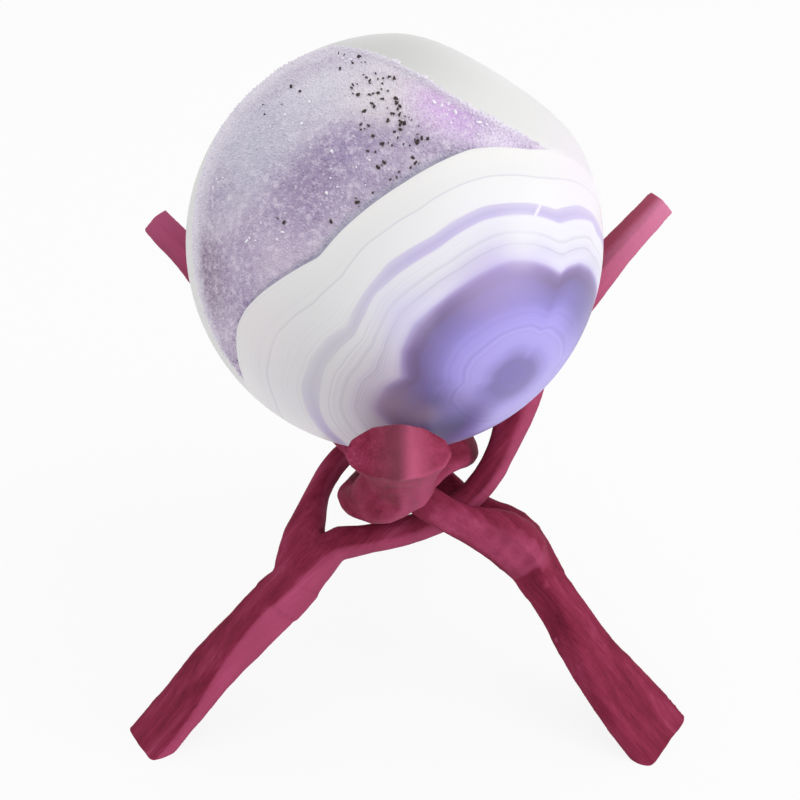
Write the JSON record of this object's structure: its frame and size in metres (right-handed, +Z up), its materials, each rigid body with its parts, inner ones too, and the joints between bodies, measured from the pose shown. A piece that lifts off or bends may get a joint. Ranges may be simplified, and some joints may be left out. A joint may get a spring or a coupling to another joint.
{
  "type": "agate sphere on a folding stand",
  "caption": "Polished banded agate ball with a sparkling crystal face, resting in a folding tripod stand of interlocked carved wooden legs.",
  "frame": {"origin": "middle of the footprint box on the floor, under the stand", "axes": "+Z up, -Y towards the broad arm tip at the front, +X to the right as seen from the front"},
  "size_m": [0.124, 0.1342, 0.1484],
  "materials": {
    "dyed_wood": "raspberry dyed, waxed, hand carved",
    "agate": "polished, with a rough crystal face"
  },
  "bodies": {
    "leg_back": {"leg_back": "dyed_wood"},
    "leg_front_left": {"leg_front_left": "dyed_wood"},
    "leg_front_right": {"leg_front_right": "dyed_wood"},
    "agate_sphere": {"agate_sphere": "agate"}
  },
  "joints": [
    {"name": "sphere_lift", "type": "slide", "parent": "leg_back", "child": "agate_sphere", "axis": [0, 0, 1], "range_m": [0, 0.053]},
    {"name": "fold_front_left", "type": "hinge", "parent": "leg_back", "child": "leg_front_left", "pos_m": [-0.00121, -0.00083, 0.03984], "axis": [0.8639, -0.4988, -0.0698], "range_deg": [0, 34]},
    {"name": "fold_front_right", "type": "hinge", "parent": "leg_back", "child": "leg_front_right", "pos_m": [-0.00121, -0.00083, 0.03984], "axis": [0.8639, 0.4988, 0.0698], "range_deg": [0, 34]}
  ],
  "couplings": [
    {"joint": "fold_front_left", "follows": "sphere_lift", "rad_per_m": 11.1},
    {"joint": "fold_front_right", "follows": "sphere_lift", "rad_per_m": 11.1}
  ]
}
